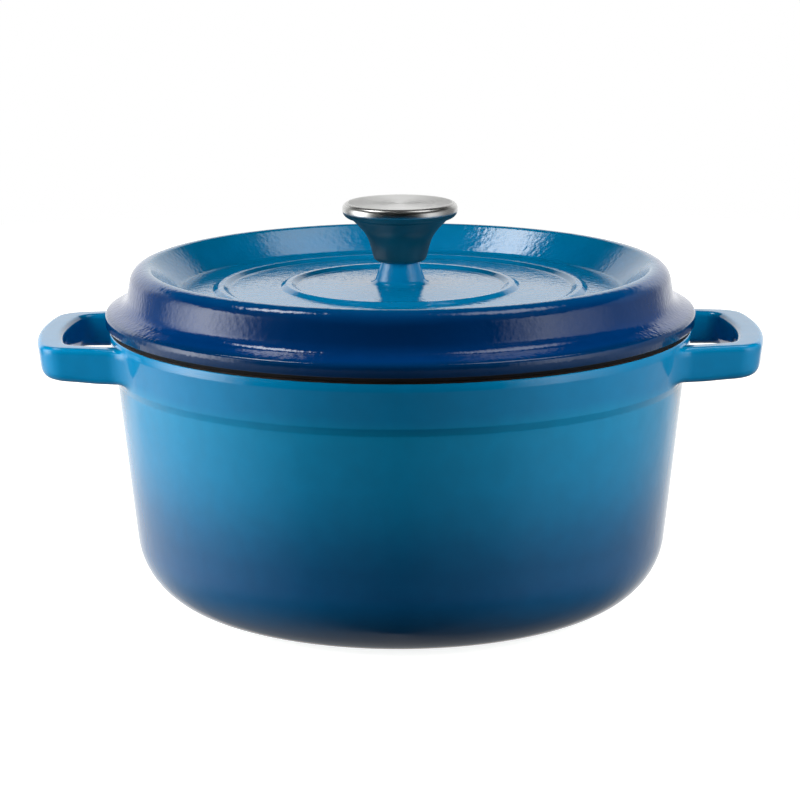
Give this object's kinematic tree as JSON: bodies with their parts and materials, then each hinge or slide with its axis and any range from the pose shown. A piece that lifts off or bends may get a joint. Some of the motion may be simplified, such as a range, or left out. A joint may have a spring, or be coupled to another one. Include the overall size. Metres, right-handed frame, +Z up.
{
  "type": "dutch oven",
  "caption": "Round enamelled cast iron dutch oven with cast loop handles and a recessed lift-off lid that carries a flared steel knob.",
  "frame": {"origin": "centre of the foot ring, on the surface the pot stands on", "axes": "+Z up through the knob, +X towards the right handle, the handles lie along X"},
  "size_m": [0.3156, 0.2564, 0.175],
  "materials": {
    "pot_enamel": "glossy light blue to navy vitreous enamel over cast iron, cream inside, bare iron rim and foot",
    "lid_enamel": "glossy navy to bright blue vitreous enamel over sand-cast iron, cream underneath",
    "knob_steel": "satin stainless steel with a polished bead",
    "fastener_steel": "plain stainless steel"
  },
  "bodies": {
    "pot": {"pot_casting": "pot_enamel", "left_handle": "pot_enamel", "right_handle": "pot_enamel"},
    "lid": {"lid_casting": "lid_enamel", "knob_bell": "knob_steel", "knob_cap": "knob_steel", "knob_insert": "fastener_steel", "knob_screw": "fastener_steel", "spring_washer": "fastener_steel", "flat_washer": "fastener_steel"}
  },
  "joints": [
    {"name": "lid_lift", "type": "slide", "parent": "pot", "child": "lid", "axis": [0, 0, 1], "range_m": [0, 0.2]}
  ]
}
